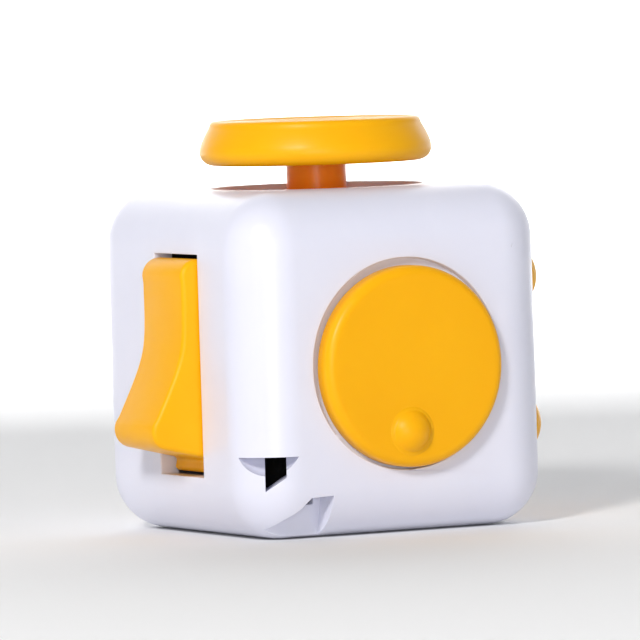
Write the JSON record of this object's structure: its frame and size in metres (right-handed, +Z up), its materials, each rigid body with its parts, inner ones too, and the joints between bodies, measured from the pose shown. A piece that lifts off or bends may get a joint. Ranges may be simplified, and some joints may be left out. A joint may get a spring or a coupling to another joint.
{
  "type": "fidget cube",
  "caption": "Palm-sized desk toy: a hollow rounded cube with a gliding joystick, spinning dial, flip rocker, domed click buttons, gear wheels and a roller ball, one control to a face.",
  "frame": {"origin": "centre of the cube's flat underside, on the surface it stands on", "axes": "+Z up through the joystick; -Y the dial's face, -X the rocker's, +X the buttons', +Y the gears' and ball's"},
  "size_m": [0.0411, 0.0376, 0.0395],
  "materials": {
    "white_plastic": "smooth moulded white plastic with a soft gloss",
    "yellow_plastic": "smooth moulded warm yellow plastic with a soft gloss",
    "black_plastic": "fine-textured black plastic",
    "steel": "plain spring and screw steel",
    "polished_steel": "polished bearing steel"
  },
  "bodies": {
    "body": {"main_shell": "white_plastic", "base_cover": "white_plastic", "core_frame": "black_plastic", "core_screws": "steel", "glide_housing": "black_plastic", "glide_springs_x": "steel", "rocker_pin": "steel", "detent_spring": "steel", "button_spring_1": "steel", "button_spring_2": "steel", "button_spring_3": "steel", "button_spring_4": "steel", "button_spring_5": "steel", "click_domes": "steel", "gear_axle": "steel", "ball_spring": "steel"},
    "carriage": {"glide_carriage": "black_plastic", "glide_springs_y": "steel"},
    "joystick": {"joystick_stem": "yellow_plastic", "joystick_cap": "yellow_plastic"},
    "dial": {"spin_dial": "yellow_plastic", "dial_washer": "steel", "dial_screw": "steel"},
    "rocker": {"flip_rocker": "yellow_plastic"},
    "detent": {"detent_plunger": "steel"},
    "button_1": {"click_button_1": "yellow_plastic"},
    "button_2": {"click_button_2": "yellow_plastic"},
    "button_3": {"click_button_3": "yellow_plastic"},
    "button_4": {"click_button_4": "yellow_plastic"},
    "button_5": {"click_button_5": "yellow_plastic"},
    "gear_1": {"roll_gear_1": "yellow_plastic"},
    "gear_2": {"roll_gear_2": "yellow_plastic"},
    "gear_3": {"roll_gear_3": "yellow_plastic"},
    "ball_holder": {"ball_cup": "black_plastic"},
    "ball": {"roll_ball": "polished_steel"}
  },
  "joints": [
    {"name": "joystick_glide_x", "type": "slide", "parent": "body", "child": "carriage", "axis": [1, 0, 0], "range_m": [-0.001, 0.001], "stiffness_N_per_m": 150, "deforming": ["glide_springs_x"]},
    {"name": "joystick_glide_y", "type": "slide", "parent": "carriage", "child": "joystick", "axis": [0, 1, 0], "range_m": [-0.001, 0.001], "stiffness_N_per_m": 150, "deforming": ["glide_springs_y"]},
    {"name": "dial_spin", "type": "hinge", "parent": "body", "child": "dial", "pos_m": [0.0005, -0.0155, 0.016], "axis": [0, -1, 0], "continuous": true},
    {"name": "rocker_flip", "type": "hinge", "parent": "body", "child": "rocker", "pos_m": [-0.0131, -0.00172, 0.0165], "axis": [0, -1, 0], "range_deg": [0, 27]},
    {"name": "detent_press", "type": "slide", "parent": "body", "child": "detent", "axis": [1, 0, 0], "range_m": [0, 0.0003], "stiffness_N_per_m": 300, "deforming": ["detent_spring"]},
    {"name": "button_press_1", "type": "slide", "parent": "body", "child": "button_1", "axis": [-1, 0, 0], "range_m": [0, 0.001], "stiffness_N_per_m": 400, "deforming": ["button_spring_1"]},
    {"name": "button_press_2", "type": "slide", "parent": "body", "child": "button_2", "axis": [-1, 0, 0], "range_m": [0, 0.001], "stiffness_N_per_m": 400, "deforming": ["button_spring_2"]},
    {"name": "button_press_3", "type": "slide", "parent": "body", "child": "button_3", "axis": [-1, 0, 0], "range_m": [0, 0.001], "stiffness_N_per_m": 400, "deforming": ["button_spring_3"]},
    {"name": "button_press_4", "type": "slide", "parent": "body", "child": "button_4", "axis": [-1, 0, 0], "range_m": [0, 0.001], "stiffness_N_per_m": 400, "deforming": ["button_spring_4"]},
    {"name": "button_press_5", "type": "slide", "parent": "body", "child": "button_5", "axis": [-1, 0, 0], "range_m": [0, 0.001], "stiffness_N_per_m": 400, "deforming": ["button_spring_5"]},
    {"name": "gear_spin_1", "type": "hinge", "parent": "body", "child": "gear_1", "pos_m": [-0.00375, 0.0135, 0.0206], "axis": [1, 0, 0], "continuous": true},
    {"name": "gear_spin_2", "type": "hinge", "parent": "body", "child": "gear_2", "pos_m": [0, 0.0135, 0.0206], "axis": [1, 0, 0], "continuous": true},
    {"name": "gear_spin_3", "type": "hinge", "parent": "body", "child": "gear_3", "pos_m": [0.00375, 0.0135, 0.0206], "axis": [1, 0, 0], "continuous": true},
    {"name": "ball_press", "type": "slide", "parent": "body", "child": "ball_holder", "axis": [0, -1, 0], "range_m": [0, 0.0005], "stiffness_N_per_m": 400, "deforming": ["ball_spring"]},
    {"name": "ball_roll", "type": "hinge", "parent": "ball_holder", "child": "ball", "pos_m": [0, 0.0149, 0.0092], "axis": [1, 0, 0], "continuous": true}
  ]
}
